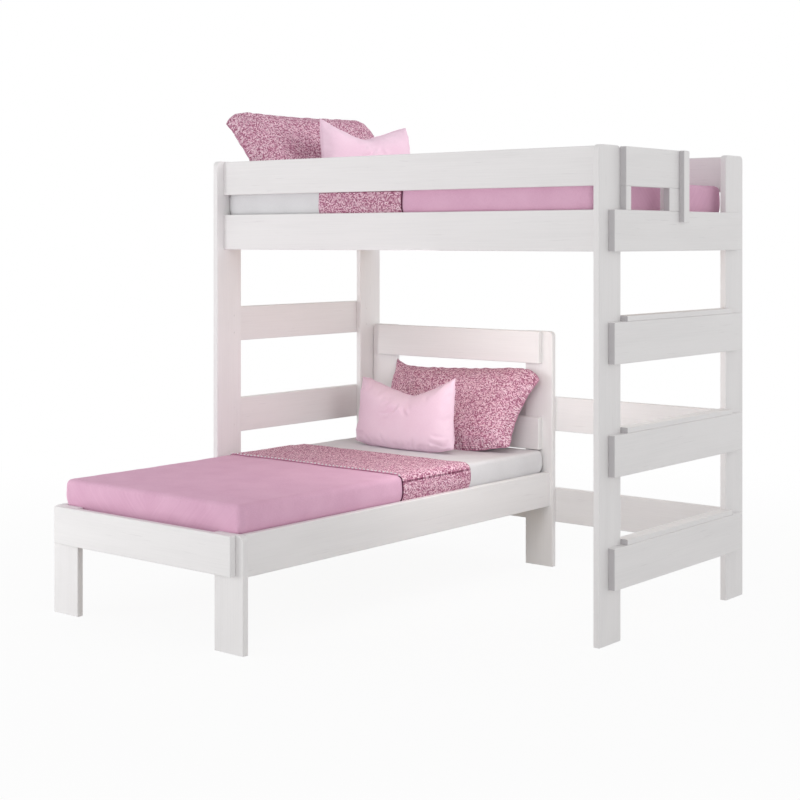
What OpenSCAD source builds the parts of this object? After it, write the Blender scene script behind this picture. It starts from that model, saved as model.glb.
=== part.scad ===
// L shaped bunk bed: a twin loft frame with ladder rungs at one end, and a
// twin bed that stands crosswise under it, both dressed with their bedding.
// X runs along the loft towards its ladder end, Y towards its back, Z up.
// Places are first measured from the outer plane of the ladder end posts (x)
// and from the front edges of the loft posts (y), and in_frame() then moves
// them to the middle of the whole object's footprint.

/* [Mattresses] */
// Length of a mattress
mat_l = 1905; // [1850:1:2030]
// Width of a mattress
mat_w = 965; // [900:1:1070]
// Thickness of a mattress
mat_t = 195; // [150:1:200]
// Radius of the mattress edges
mat_r = 28; // [15:1:40]
// Gap between the loft's mattress and the posts at its head
loft_head_play = 6; // [4.5:0.5:25]
// Gap between the loft's mattress and the posts at its foot
loft_foot_play = 47; // [15:0.5:60]
// Gap between the loft's mattress and each side rail
loft_side_play = 9; // [7:0.5:20]
// Gap between the lower mattress and the foot legs
bed_foot_play = 5.5; // [5.5:0.5:15]
// Gap between the lower mattress and the headboard posts
bed_head_play = 23.5; // [15:0.5:40]
// Gap between the lower mattress and each side rail
bed_side_play = 6.5; // [6.5:0.5:20]

/* [Loft frame] */
// Height of the posts
loft_h = 1830; // [1760:1:1900]
// Set back of the long rails from the posts' edges
rail_set = 38; // [30:1:42]
// Distance of an end board's ends from the posts' edges
lap_inset = 59; // [45:1:75]
// How far a guard rail's top lies below the post tops
guard_drop = 3; // [0:0.5:10]

/* [Boards] */
// Thickness of posts and legs
post_t = 27; // [24:0.5:32]
// Width of posts and legs
post_w = 148; // [140:1:160]
// Thickness of rails, rungs and end boards
rail_t = 29; // [24:0.5:34]
// Width of rails, rungs and stretchers
rail_w = 154; // [130:1:160]
// Width of guard boards and of the head and foot boards
guard_w = 147; // [125:1:155]
// Radius of the eased long edges
edge_r = 4; // [2:0.5:6]
// Radius of the round top corners of posts and legs
corner_r = 26; // [15:1:40]

/* [Ladder] */
// Height of the lowest rung's bottom edge
rung_first = 201; // [180:1:230]
// Rise from one rung to the next
rung_pitch = 412.5; // [400:0.5:425]
// Thickness of the step boards on the rungs
tread_t = 21; // [18:0.5:28]

/* [Entry guard] */
// Start of the guard board, from the front
entry_y0 = 139.5; // [125:0.5:145]
// End of the guard board, from the front
entry_y1 = 571; // [500:1:650]
// Width of the front filler block
block_front_w = 36; // [30:1:60]
// Width of the rear filler block
block_rear_w = 114; // [80:1:140]
// Width of the outer batten
batten_w = 43; // [35:1:60]
// Thickness of the outer batten
batten_t = 24; // [18:1:30]
// How far the batten laps down over the end rail
batten_lap = 43; // [30:1:80]
// Thickness of the upright cleats behind the guard
entry_cleat_w = 25; // [20:1:26]

/* [Lower bed] */
// Gap to the loft's left posts
bed_gap = 3; // [1:0.5:15]
// Height of the foot legs and of the side rails' top
foot_h = 428; // [400:1:460]
// Height of the headboard posts
head_h = 1066; // [1000:1:1150]
// Set back of the side rails from the legs' outer edges
bed_rail_set = 15; // [8:1:30]
// Inset of the foot board's ends on the legs
foot_inset = 36; // [25:1:60]
// Inset of the head boards' ends on the posts
head_inset = 55; // [40:1:70]
// Height of the lower head board's bottom edge above the mattress
head_low_up = 2; // [1:1:40]

/* [Slats] */
// Number of slats in each bed
slat_n = 13; // [10:1:15]
// Width of a slat
slat_w = 70; // [50:1:85]
// Thickness of a slat
slat_t = 18; // [15:1:24]
// Free play of a slat at each end
slat_play = 2; // [1:0.5:4]
// Height of the cleats
cleat_h = 38; // [30:1:45]
// Height of the loft's cleats above its side rails' bottom edges
loft_cleat_up = 12.5; // [0:0.5:20]
// Height of the lower bed's cleats above its side rails' bottom edges
bed_cleat_up = 1; // [0:0.5:15]
// Thickness of the cleats
cleat_t = 22; // [18:1:30]
// Length left free for the corner brackets at a cleat's ends
cleat_end = 48; // [45:1:80]

/* [Bedding] */
// Thickness of blankets and throws
cloth_t = 4; // [3:0.5:5]
// Air between a cloth or pillow and what it lies on
air = 0.3; // [0.2:0.05:0.5]
// Length of bare sheet at the head
sheet_l = 548; // [500:1:600]
// Width of the throw
throw_w = 455; // [400:1:520]
// How far the cloths hang below the mattress top
drop = 130; // [110:1:160]

/* [Pillows] */
// Large pillow: width
big_w = 870; // [700:1:900]
// Large pillow: height
big_h = 412; // [350:1:415]
// Large pillow: thickness
big_t = 130; // [90:1:150]
// Large pillow: distance of its lower edge from the bed's head end
big_u = 215; // [212:1:240]
// Large pillow: lean from upright
big_lean = 30; // [25:1:31]
// Large pillow: how far the tips of its upper corners droop
big_droop = 45; // [0:1:70]
// Large pillow: how far its lower corners are drawn in
big_tuck = 45; // [0:1:70]
// Large pillow on the loft: shift to the right, seen from the foot
loft_big_v = -62; // [-70:1:0]
// Large pillow on the loft: turn about the vertical
loft_big_turn = 5; // [0:0.5:6]
// Large pillow on the lower bed: shift to the right, seen from the foot
bed_big_v = 60; // [0:1:70]
// Large pillow on the lower bed: turn about the vertical
bed_big_turn = 2; // [0:0.5:3]
// Large pillow on the lower bed: droop of its left tip, which stands up
bed_tip_droop = -10; // [-20:1:45]
// Small pillow: width
small_w = 570; // [450:1:620]
// Small pillow: height
small_h = 325; // [260:1:340]
// Small pillow: thickness
small_t = 110; // [80:1:120]
// Small pillow: distance of its lower edge from the bed's head end
small_u = 375; // [365:1:430]
// Small pillow on the loft: shift to the right, seen from the foot
loft_small_v = 15; // [-60:1:60]
// Small pillow on the lower bed: shift to the right, seen from the foot
bed_small_v = -15; // [-60:1:60]
// Small pillow: lean from upright
small_lean = 7; // [0:1:12]
// Small pillow: turn about the vertical
small_turn = 3; // [0:0.5:10]
// Depth of the dent in the small pillow's top
small_dent = 62; // [20:1:80]
// How far a pillow's lower corners stand up from the bed
corner_lift = 36; // [10:1:45]
// Depth to which a pillow's lower edge is pressed flat
press = 12; // [4:1:20]
// Half the thickness of a pillow along its seams
seam = 1.5; // [1:0.1:3]

/* [Fixings] */
// Radius of a dowel
dowel_r = 4; // [3:0.5:5]
// Depth of a dowel in the post
dowel_post = 14; // [10:1:18]
// Depth of a dowel in the rail
dowel_rail = 22; // [18:1:23]
// Radius of a screw's shank
screw_r = 2.2; // [1.5:0.1:3]
// Radius of a screw's head
screw_head_r = 4.6; // [3.5:0.1:6]
// Depth of a screw in the board that it pulls on
screw_bite = 18; // [12:1:20]
// Length of a bracket's legs
bracket_l = 40; // [30:1:44]
// Height of a bracket
bracket_h = 100; // [80:1:110]
// Height of a bracket's bottom above the rail's bottom edge
bracket_up = 9; // [4:1:12]
// Thickness of a bracket's steel
bracket_t = 3; // [2:0.5:3]
// Radial clearance of dowels and screws in their holes
hole_gap = 0.1; // [0.05:0.05:0.3]

/* [Hidden] */
$fn = 48;
eps = 0.01;

// Colours: painted wood, plain hidden timber, steel, and the cloths
wood = "#f1eff0";
timber = "#e3d8c6";
steel = "#b9bcc0";
sheet = "#dfe1e3";
pink = "#e0b3cc";
rose = "#b8688f";
blush = "#ebc6da";

// Levels of the loft, up from the floor
level = [for (i = [0:3]) rung_first + i * rung_pitch];
rail_z = level[3];
guard_z = loft_h - guard_drop - guard_w;
tread_z = [for (i = [0:2]) level[i] + rail_w];

// Sizes of the two frames, built up around the mattress
loft_span = mat_l + loft_head_play + loft_foot_play;
loft_clear = mat_w + 2 * loft_side_play;
loft_l = loft_span + 2 * post_t;
loft_w = loft_clear + 2 * (rail_t + rail_set);
bed_l = mat_l + bed_foot_play + bed_head_play;
bed_clear = mat_w + 2 * bed_side_play;
bed_w = bed_clear + 2 * (rail_t + bed_rail_set);

// Planes of the loft
left_out = -loft_l;
left_in = -loft_l + post_t;
ladder_in = -post_t;
rear_y = loft_w - rail_set - rail_t;
stretcher_y = loft_w - rail_t;
lap_l = loft_w - 2 * lap_inset;

// Planes of the lower bed
bed_x0 = left_in + bed_gap;
bed_x1 = bed_x0 + bed_w;
head_y = stretcher_y - post_t;
foot_y = head_y - bed_l;
bed_in_x0 = bed_x0 + bed_rail_set + rail_t;
bed_in_x1 = bed_x1 - bed_rail_set - rail_t;
bed_rail_z = foot_h - rail_w;

// Heights of what carries the mattresses, from the cleats up
loft_cleat_z = rail_z + loft_cleat_up;
bed_cleat_z = bed_rail_z + bed_cleat_up;
loft_slat_z = loft_cleat_z + cleat_h;
bed_slat_z = bed_cleat_z + cleat_h;
loft_mat_top = loft_slat_z + slat_t + mat_t;
bed_mat_top = bed_slat_z + slat_t + mat_t;
head_low_z = bed_mat_top + head_low_up;

// The whole object's footprint, and its middle
x_min = left_out - rail_t;
x_max = rail_t + batten_t;
y_min = foot_y - post_t - rail_t;
y_max = loft_w;
x_mid = (x_min + x_max) / 2;
y_mid = (y_min + y_max) / 2;

module in_frame() translate([-x_mid, -y_mid, 0]) children();

// ---------------------------------------------------------------- boards

// A rectangle with its lower corners rounded by r0 and its upper ones by r1
module round_rect(w, h, r0, r1) {
    translate([r0, 0]) square([w - 2 * r0, h - r1]);
    translate([0, r0]) square([w, h - r0 - r1]);
    translate([r1, h - r1 - eps]) square([w - 2 * r1, r1 + eps]);
    for (x = [r0, w - r0]) translate([x, r0]) circle(r0);
    for (x = [r1, w - r1]) translate([x, h - r1]) circle(r1);
}

// A board along +X with eased long edges and square ends, for butt joints
module butt_board(l, t, w)
    rotate([90, 0, 90]) linear_extrude(l) round_rect(t, w, edge_r, edge_r);

// A board along +X with eased long edges and eased ends, for lap joints
module lap_board(l, t, w)
    intersection() {
        butt_board(l, t, w);
        translate([0, t, 0]) rotate([90, 0, 0]) linear_extrude(t) round_rect(l, w, edge_r, edge_r);
        linear_extrude(w) round_rect(l, t, edge_r, edge_r);
    }

// An upright board on the floor: t along X, w along Y, h tall, round top corners
module upright(t, w, h, r)
    intersection() {
        rotate([90, 0, 90]) linear_extrude(t) round_rect(w, h, edge_r / 2, r);
        linear_extrude(h) round_rect(t, w, edge_r, edge_r);
        translate([0, w, 0]) rotate([90, 0, 0]) linear_extrude(w) round_rect(t, h, edge_r / 2, edge_r);
    }

// An upright whose top is rounded at one side only, the side away from y = 0
module upright_one(t, w, h, r)
    intersection() {
        upright(t, w, h, edge_r);
        translate([0, -w, 0]) upright(t, 2 * w, h, r);
    }

// ------------------------------------------------------------ fixings

// A dowel along +X that starts at x = 0
module dowel(l, r) rotate([0, 90, 0]) cylinder(h = l, r = r);

// A countersunk screw along +X, its head flush with x = 0
module screw(l, gap) {
    head = screw_head_r + gap;
    shank = screw_r + gap;
    rotate([0, 90, 0]) {
        cylinder(h = l + gap, r = shank);
        cylinder(h = screw_head_r - screw_r, r1 = head, r2 = shank);
    }
}

// The long boards of the loft: [y, z, width]
long_boards = [
    [rail_set, rail_z, rail_w],
    [rear_y, rail_z, rail_w],
    [rail_set, guard_z, guard_w],
    [rear_y, guard_z, guard_w],
    [stretcher_y, level[0], rail_w],
    [stretcher_y, level[1], rail_w]
];

// Heights of the dowels and screws of a joint, as shares of the board's width
dowel_at = [0.22, 0.78];
screw_at = [0.25, 0.75];
// Places of a bracket's screws, as shares of its leg and of its height
bracket_screw_out = 0.65;
bracket_screw_at = [0.2, 0.8];

// Dowels of the loft's long boards, in their posts at both ends
module loft_dowel_set(gap = 0)
    for (b = long_boards, f = dowel_at)
        translate([0, b[0] + rail_t / 2, b[1] + f * b[2]]) {
            translate([ladder_in - dowel_rail - gap, 0, 0])
                dowel(dowel_rail + dowel_post + 2 * gap, dowel_r + gap);
            translate([left_in - dowel_post - gap, 0, 0])
                dowel(dowel_rail + dowel_post + 2 * gap, dowel_r + gap);
        }

// Dowels between the rungs and their step boards
module step_dowel_set(gap = 0)
    for (z = tread_z, k = [1:3])
        translate([rail_t / 2, loft_w * k / 4, z - dowel_rail - gap])
            cylinder(h = dowel_rail + dowel_post + gap, r = dowel_r + gap);

// Middle of each lap of an end board on its post
lap_mid = (lap_inset + post_w) / 2;
lap_ys = [lap_mid, loft_w - lap_mid];

// Screws through the posts into the end boards, two in each lap
module loft_screw_set(gap = 0)
    for (y = lap_ys, f = screw_at) {
        for (z = level) {
            translate([ladder_in, y, z + f * rail_w]) screw(post_t + screw_bite, gap);
            translate([left_in, y, z + f * rail_w]) mirror([1, 0, 0]) screw(post_t + screw_bite, gap);
        }
        translate([left_in, y, guard_z + f * guard_w]) mirror([1, 0, 0]) screw(post_t + screw_bite, gap);
    }

// The four screws of a bracket in the corner at the origin
module bracket_screws(gap = 0)
    for (f = bracket_screw_at, turn = [0, 1])
        mirror([turn, -turn, 0])
            translate([bracket_l * bracket_screw_out, bracket_t, bracket_h * f]) rotate([0, 0, -90])
                screw(bracket_t + screw_bite, gap);

// A steel angle in the corner at the origin, along +X and +Y
module bracket()
    difference() {
        union() {
            cube([bracket_l, bracket_t, bracket_h]);
            cube([bracket_t, bracket_l, bracket_h]);
        }
        bracket_screws(hole_gap);
    }

// Puts its children in the four inner corners of the loft's side rails
module loft_corners()
    for (end = [0, 1], side = [0, 1])
        translate([end ? ladder_in : left_in,
                   side ? rear_y : rail_set + rail_t,
                   rail_z + bracket_up])
            mirror([end, 0, 0]) mirror([0, side, 0]) children();

// Puts its children in the four inner corners of the lower bed's side rails
module bed_corners()
    for (side = [0, 1], end = [0, 1])
        translate([side ? bed_in_x1 : bed_in_x0,
                   end ? head_y : foot_y,
                   bed_rail_z + bracket_up])
            mirror([side, 0, 0]) mirror([0, end, 0]) children();

// ------------------------------------------------------------ the loft

module loft_post(x, y) color(wood) difference() {
    translate([x, y, 0]) upright(post_t, post_w, loft_h, corner_r);
    loft_dowel_set(hole_gap);
    loft_screw_set(hole_gap);
    loft_corners() bracket_screws(hole_gap);
}

module post_front_ladder() loft_post(ladder_in, 0);
module post_rear_ladder() loft_post(ladder_in, loft_w - post_w);
module post_front_left() loft_post(left_out, 0);
module post_rear_left() loft_post(left_out, loft_w - post_w);

// A long board between the end posts, drilled for its dowels
module long_board(i) color(wood) difference() {
    b = long_boards[i];
    translate([left_in, b[0], b[1]]) butt_board(loft_span, rail_t, b[2]);
    loft_dowel_set(hole_gap);
    if (b[1] == rail_z) loft_corners() bracket_screws(hole_gap);
}

module side_rail_front() long_board(0);
module side_rail_rear() long_board(1);
module guard_rail_front() long_board(2);
module guard_rail_rear() long_board(3);
module stretcher_lower() long_board(4);
module stretcher_upper() long_board(5);

// A board along Y that laps over the outer faces of an end's two posts
module end_board(x, z, w)
    translate([x + rail_t, lap_inset, z]) rotate([0, 0, 90]) lap_board(lap_l, rail_t, w);

module ladder_board(z) color(wood) difference() {
    end_board(0, z, rail_w);
    loft_screw_set(hole_gap);
    step_dowel_set(hole_gap);
}

module end_rail_ladder() color(wood) difference() {
    ladder_board(rail_z);
    entry_screw_set(hole_gap);
}
module ladder_rung_1() ladder_board(level[0]);
module ladder_rung_2() ladder_board(level[1]);
module ladder_rung_3() ladder_board(level[2]);

module left_board(z, w) color(wood) difference() {
    end_board(x_min, z, w);
    loft_screw_set(hole_gap);
}

module end_rail_left() left_board(rail_z, rail_w);
module end_guard_left() left_board(guard_z, guard_w);
module left_rung_1() left_board(level[0], rail_w);
module left_rung_2() left_board(level[1], rail_w);
module left_rung_3() left_board(level[2], rail_w);

// A step board on a rung, between the posts and out to the rung's face
module step(i) color(wood) difference() {
    translate([rail_t, post_w, tread_z[i]]) rotate([0, 0, 90])
        butt_board(loft_w - 2 * post_w, post_t + rail_t, tread_t);
    step_dowel_set(hole_gap);
}

module step_1() step(0);
module step_2() step(1);
module step_3() step(2);

// ------------------------------------------------------ the entry guard

block_h = guard_z - rail_z - rail_w;
block_z = rail_z + rail_w;
batten_z = block_z - batten_lap;
entry_cleat_z = rail_z + edge_r;
entry_cleat_h = guard_z + guard_w - edge_r - entry_cleat_z;
entry_cleat_ys = [post_w, entry_y1 - block_rear_w + entry_cleat_w];

// Screws from the cleats into the guard, its blocks and the end rail
module entry_screw_set(gap = 0)
    for (y = entry_cleat_ys, z = [rail_z + rail_w / 2, for (f = screw_at) guard_z + guard_w * f])
        translate([-post_t, y + entry_cleat_w / 2, z]) screw(post_t + screw_bite, gap);

module entry_guard() color(wood) difference() {
    translate([rail_t, entry_y0, guard_z]) rotate([0, 0, 90])
        lap_board(entry_y1 - entry_y0, rail_t, guard_w);
    entry_screw_set(hole_gap);
}

module entry_block(y, w) color(wood)
    translate([0, y, block_z]) linear_extrude(block_h) round_rect(rail_t, w, edge_r, edge_r);

module entry_block_front() entry_block(entry_y0, block_front_w);
module entry_block_rear() entry_block(entry_y1 - block_rear_w, block_rear_w);

module entry_batten() color(wood)
    translate([rail_t, entry_y1 - batten_w, batten_z])
        upright_one(batten_t, batten_w, guard_z + guard_w - batten_z, batten_t / 2);

module entry_cleats() color(timber) difference() {
    for (y = entry_cleat_ys)
        translate([-post_t, y, entry_cleat_z]) cube([post_t, entry_cleat_w, entry_cleat_h]);
    entry_screw_set(hole_gap);
}

// ----------------------------------------------------- mattress support

// Slats spread evenly over length l, each of length s, along +X
module slat_row(l, s)
    for (i = [0:slat_n - 1])
        translate([i * (l - slat_w) / (slat_n - 1), 0, 0])
            linear_extrude(slat_t) round_rect(slat_w, s, edge_r, edge_r);

module loft_cleats() color(timber)
    for (y = [rail_set + rail_t, rear_y - cleat_t])
        translate([left_in + cleat_end, y, loft_cleat_z])
            cube([loft_span - 2 * cleat_end, cleat_t, cleat_h]);

module loft_slats() color(timber)
    translate([left_in + cleat_end, rail_set + rail_t + slat_play, loft_slat_z])
        slat_row(loft_span - 2 * cleat_end, loft_clear - 2 * slat_play);

module loft_dowels() color(timber) {
    loft_dowel_set();
    step_dowel_set();
}

// Angles between the side rails and the posts
module loft_brackets() color(steel) loft_corners() bracket();

module loft_screws() color(steel) {
    loft_screw_set();
    entry_screw_set();
    loft_corners() bracket_screws();
}

// -------------------------------------------------------- the lower bed

foot_board_z = foot_h - guard_w;
head_top_z = head_h - guard_w;
// Middles of the laps of the foot and head boards on their uprights
foot_lap = (foot_inset + post_w) / 2;
head_lap = (head_inset + post_w) / 2;

// Screws from behind through legs and posts into the boards on their front
module bed_screw_set(gap = 0) {
    for (x = [bed_x0 + foot_lap, bed_x1 - foot_lap], f = screw_at)
        translate([x, foot_y, foot_board_z + f * guard_w]) rotate([0, 0, -90]) screw(post_t + screw_bite, gap);
    for (x = [bed_x0 + head_lap, bed_x1 - head_lap], z = [head_low_z, head_top_z], f = screw_at)
        translate([x, head_y + post_t, z + f * guard_w]) rotate([0, 0, -90]) screw(post_t + screw_bite, gap);
}

// A leg or post with its wide face to the front and its outer top corner round
module bed_upright(x, y, h, outer_left) color(wood) difference() {
    translate([x, y + post_t, 0]) rotate([0, 0, -90])
        translate([0, outer_left ? post_w : 0, 0]) mirror([0, outer_left ? 1 : 0, 0])
            upright_one(post_t, post_w, h, corner_r);
    bed_screw_set(hole_gap);
    bed_corners() bracket_screws(hole_gap);
}

module foot_leg_left() bed_upright(bed_x0, foot_y - post_t, foot_h, true);
module foot_leg_right() bed_upright(bed_x1 - post_w, foot_y - post_t, foot_h, false);
module head_post_left() bed_upright(bed_x0, head_y, head_h, true);
module head_post_right() bed_upright(bed_x1 - post_w, head_y, head_h, false);

module cross_board(y, z, inset) color(wood) difference() {
    translate([bed_x0 + inset, y - rail_t, z]) lap_board(bed_w - 2 * inset, rail_t, guard_w);
    bed_screw_set(hole_gap);
}

module foot_board() cross_board(foot_y - post_t, foot_board_z, foot_inset);
module head_board_top() cross_board(head_y, head_top_z, head_inset);
module head_board_low() cross_board(head_y, head_low_z, head_inset);

module bed_rail(x) color(wood) difference() {
    translate([x + rail_t, foot_y, bed_rail_z]) rotate([0, 0, 90]) butt_board(bed_l, rail_t, rail_w);
    bed_corners() bracket_screws(hole_gap);
}

module bed_rail_left() bed_rail(bed_in_x0 - rail_t);
module bed_rail_right() bed_rail(bed_in_x1);

module bed_cleats() color(timber)
    for (x = [bed_in_x0, bed_in_x1 - cleat_t])
        translate([x, foot_y + cleat_end, bed_cleat_z])
            cube([cleat_t, bed_l - 2 * cleat_end, cleat_h]);

module bed_slats() color(timber)
    translate([bed_in_x1 - slat_play, foot_y + cleat_end, bed_slat_z]) rotate([0, 0, 90])
        slat_row(bed_l - 2 * cleat_end, bed_clear - 2 * slat_play);

module bed_brackets() color(steel) bed_corners() bracket();

module bed_screws() color(steel) {
    bed_screw_set();
    bed_corners() bracket_screws();
}

// -------------------------------------------------------------- bedding
// The bedding is drawn on a bed whose head end is at u = 0 and whose foot is
// at u = mat_l, with v across from its middle and z from the mattress top.

// Box along +u from u0 to u1 and across v, down from z1 to z0, eased by r
module soft_box(u0, u1, w, z0, z1, r)
    translate([u0, -w / 2, z0]) intersection() {
        rotate([90, 0, 90]) linear_extrude(u1 - u0) round_rect(w, z1 - z0, r, r);
        translate([0, w, 0]) rotate([90, 0, 0]) linear_extrude(w) round_rect(u1 - u0, z1 - z0, r, r);
        linear_extrude(z1 - z0) round_rect(u1 - u0, w, r, r);
    }

module mattress() soft_box(0, mat_l, mat_w, -mat_t, 0, mat_r);

// Cloth over the mattress from u0 to u1; wrap is true where it also hangs over the foot
module cloth(u0, u1, wrap) {
    grow = air + cloth_t;
    far = wrap ? mat_l + grow : u1 + mat_r * 2;
    difference() {
        soft_box(u0 - mat_r * 2, far, mat_w + 2 * grow, -mat_t, grow, mat_r + grow);
        soft_box(u0 - mat_r * 4, wrap ? mat_l + air : u1 + mat_r * 4, mat_w + 2 * air, -mat_t - grow, air, mat_r + air);
        translate([u0 - mat_r * 5, -mat_w, -mat_t - grow]) cube([mat_r * 5, 2 * mat_w, mat_t * 2]);
        if (!wrap) translate([u1, -mat_w, -mat_t - grow]) cube([mat_r * 5, 2 * mat_w, mat_t * 2]);
        translate([-mat_l, -mat_w, -mat_t - grow]) cube([3 * mat_l, 2 * mat_w, mat_t + grow - drop]);
    }
}

module blanket() cloth(sheet_l + throw_w + air, mat_l, true);
module throw() cloth(sheet_l, sheet_l + throw_w, false);

// How far a pillow's sides and top draw in between its corners, as a share
pull = 0.07;

// A pillow's surface: a, b from -1 to 1 across and up, s is 1 in front and -1 behind.
// The dent is a valley in the top, droop is that of the left and the right tip.
function pillow_point(w, h, t, dent, droop, tuck, a, b, s) = let(
        across = w / 2 * a * (1 - pull * (1 - b * b) * a * a) - tuck * a * (1 - b) / 2,
        valley = dent * max(0, 1 - sqrt(a * a + 0.01)),
        ear = (a < 0 ? droop[0] : droop[1]) * pow(a, 8),
        lift = corner_lift * a * a * pow((1 - b) / 2, 2),
        up = h / 2 * (1 + b * (1 - pull * (1 - a * a) * max(b, 0)))
            - (valley + ear) * pow((1 + b) / 2, 2) + lift,
        fat = sqrt((1 - pow(a, 4)) * (1 - pow(b, 4)))
    ) [s * (seam + (t / 2 - seam) * fat), across, up];

// Closed skin of triangles over n by m cells, its lower edge at z = 0
module pillow(w, h, t, dent, droop, tuck, n = 16, m = 10) {
    row = n + 1;
    side = row * (m + 1);
    points = [for (s = [1, -1], j = [0:m], i = [0:n])
        pillow_point(w, h, t, dent, droop, tuck, 2 * i / n - 1, 2 * j / m - 1, s)];
    front = [for (j = [0:m - 1], i = [0:n - 1]) let(p = j * row + i)
        each [[p, p + row, p + 1], [p + 1, p + row, p + row + 1]]];
    behind = [for (f = front) [f[0] + side, f[2] + side, f[1] + side]];
    rim = concat(
        [for (i = [0:n - 1]) i],
        [for (j = [0:m - 1]) j * row + n],
        [for (i = [n:-1:1]) m * row + i],
        [for (j = [m:-1:1]) j * row]);
    edge = [for (k = [0:len(rim) - 1]) let(p = rim[k], q = rim[(k + 1) % len(rim)])
        each [[p, q, p + side], [q, q + side, p + side]]];
    polyhedron(points, concat(front, behind, edge), convexity = 4);
}

// A pillow leaning back at distance u from the head end and v from the middle,
// pressed flat where it rests on the bed
module resting_pillow(u, v, lean, turn) difference() {
    translate([u, v, air - press]) rotate([0, -lean, -turn]) children();
    translate([0, -mat_w, air - mat_t]) cube([mat_w, 2 * mat_w, mat_t]);
}

module pillow_large(v, turn, droop)
    resting_pillow(big_u, v, big_lean, turn) pillow(big_w, big_h, big_t, 0, droop, big_tuck);
module pillow_small(v)
    resting_pillow(small_u, v, small_lean, small_turn)
        pillow(small_w, small_h, small_t, small_dent, [0, 0], 0);

// The loft's head is at its left end, the lower bed's under the loft's back
loft_head_x = left_in + loft_head_play;
bed_head_y = head_y - bed_head_play;
module on_loft() translate([loft_head_x, loft_w / 2, loft_mat_top]) children();
module on_bed() translate([(bed_x0 + bed_x1) / 2, bed_head_y, bed_mat_top]) rotate([0, 0, -90]) children();

module loft_mattress() color(sheet) on_loft() mattress();
module loft_blanket() color(pink) on_loft() blanket();
module loft_throw() color(rose) on_loft() throw();
module loft_pillow_large() color(rose) on_loft()
    pillow_large(loft_big_v, loft_big_turn, [big_droop, big_droop]);
module loft_pillow_small() color(blush) on_loft() pillow_small(loft_small_v);
module bed_mattress() color(sheet) on_bed() mattress();
module bed_blanket() color(pink) on_bed() blanket();
module bed_throw() color(rose) on_bed() throw();
module bed_pillow_large() color(rose) on_bed()
    pillow_large(bed_big_v, bed_big_turn, [bed_tip_droop, big_droop]);
module bed_pillow_small() color(blush) on_bed() pillow_small(bed_small_v);

// ---------------------------------------------------------------- nodes

in_frame() {
    post_front_ladder();
    post_rear_ladder();
    post_front_left();
    post_rear_left();
    side_rail_front();
    side_rail_rear();
    guard_rail_front();
    guard_rail_rear();
    stretcher_lower();
    stretcher_upper();
    end_rail_ladder();
    end_rail_left();
    end_guard_left();
    ladder_rung_1();
    ladder_rung_2();
    ladder_rung_3();
    step_1();
    step_2();
    step_3();
    left_rung_1();
    left_rung_2();
    left_rung_3();
    entry_guard();
    entry_block_front();
    entry_block_rear();
    entry_batten();
    entry_cleats();
    loft_cleats();
    loft_slats();
    loft_dowels();
    loft_brackets();
    loft_screws();
    foot_leg_left();
    foot_leg_right();
    foot_board();
    head_post_left();
    head_post_right();
    head_board_top();
    head_board_low();
    bed_rail_left();
    bed_rail_right();
    bed_cleats();
    bed_slats();
    bed_brackets();
    bed_screws();
    loft_mattress();
    loft_blanket();
    loft_throw();
    loft_pillow_large();
    loft_pillow_small();
    bed_mattress();
    bed_blanket();
    bed_throw();
    bed_pillow_large();
    bed_pillow_small();
}
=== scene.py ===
"""L shaped bunk bed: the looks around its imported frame.

A white painted loft bed stands over a second bed that lies crosswise under it.
Both are made up with a fitted sheet, a pink blanket, a woven throw across it, a
large pillow in the throw's cloth and a small plain one. Lengths are in metres.
"""

import math

import bpy
import numpy as np
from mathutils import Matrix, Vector


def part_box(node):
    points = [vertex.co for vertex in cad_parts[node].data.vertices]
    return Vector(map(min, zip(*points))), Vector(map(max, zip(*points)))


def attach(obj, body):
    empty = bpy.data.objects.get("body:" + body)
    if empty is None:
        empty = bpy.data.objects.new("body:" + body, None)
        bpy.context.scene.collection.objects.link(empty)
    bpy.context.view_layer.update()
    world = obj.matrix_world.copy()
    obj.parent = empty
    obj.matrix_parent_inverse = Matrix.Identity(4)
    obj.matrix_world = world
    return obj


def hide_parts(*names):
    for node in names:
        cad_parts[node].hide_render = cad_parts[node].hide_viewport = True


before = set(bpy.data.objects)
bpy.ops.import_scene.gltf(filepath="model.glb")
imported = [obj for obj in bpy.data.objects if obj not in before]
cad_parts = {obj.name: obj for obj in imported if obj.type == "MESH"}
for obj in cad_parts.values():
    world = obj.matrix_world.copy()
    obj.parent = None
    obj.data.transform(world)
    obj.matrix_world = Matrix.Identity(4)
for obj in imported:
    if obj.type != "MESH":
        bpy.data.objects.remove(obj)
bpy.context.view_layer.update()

# ------------------------------------------------------------------ sizes

MATTRESS_EDGE = 0.017  # radius of a mattress's edges
MATTRESS_BELLY = 0.010  # how far its sides bulge out above the rails
HEAD_BELLY = {"loft": 0.005, "bed": 0.012}  # and its head end
AIR = 0.0003  # between a cloth or pillow and what it lies on
SHEET_BARE = 0.548  # length of bare sheet at the head
BLANKET_THICK = 0.0035
BLANKET_UNDER = 0.380  # how far the blanket reaches under the throw
THROW_WIDTH = 0.455
THROW_THICK = 0.0045
CLOTH_DROP = 0.130  # how far the cloths hang below the mattress top
SHADOW_EDGE_RADIUS = 0.0026  # radius of the dark rolled edge that paints the shadow at the throw's hanging foot edge
HEM = 0.0022  # radius of its other edges
STITCH_PITCH = 0.0210  # from one stitch on the throw's foot edge to the next
STITCH_LENGTH = 0.0115
STITCH_THREAD = 0.0066

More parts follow.
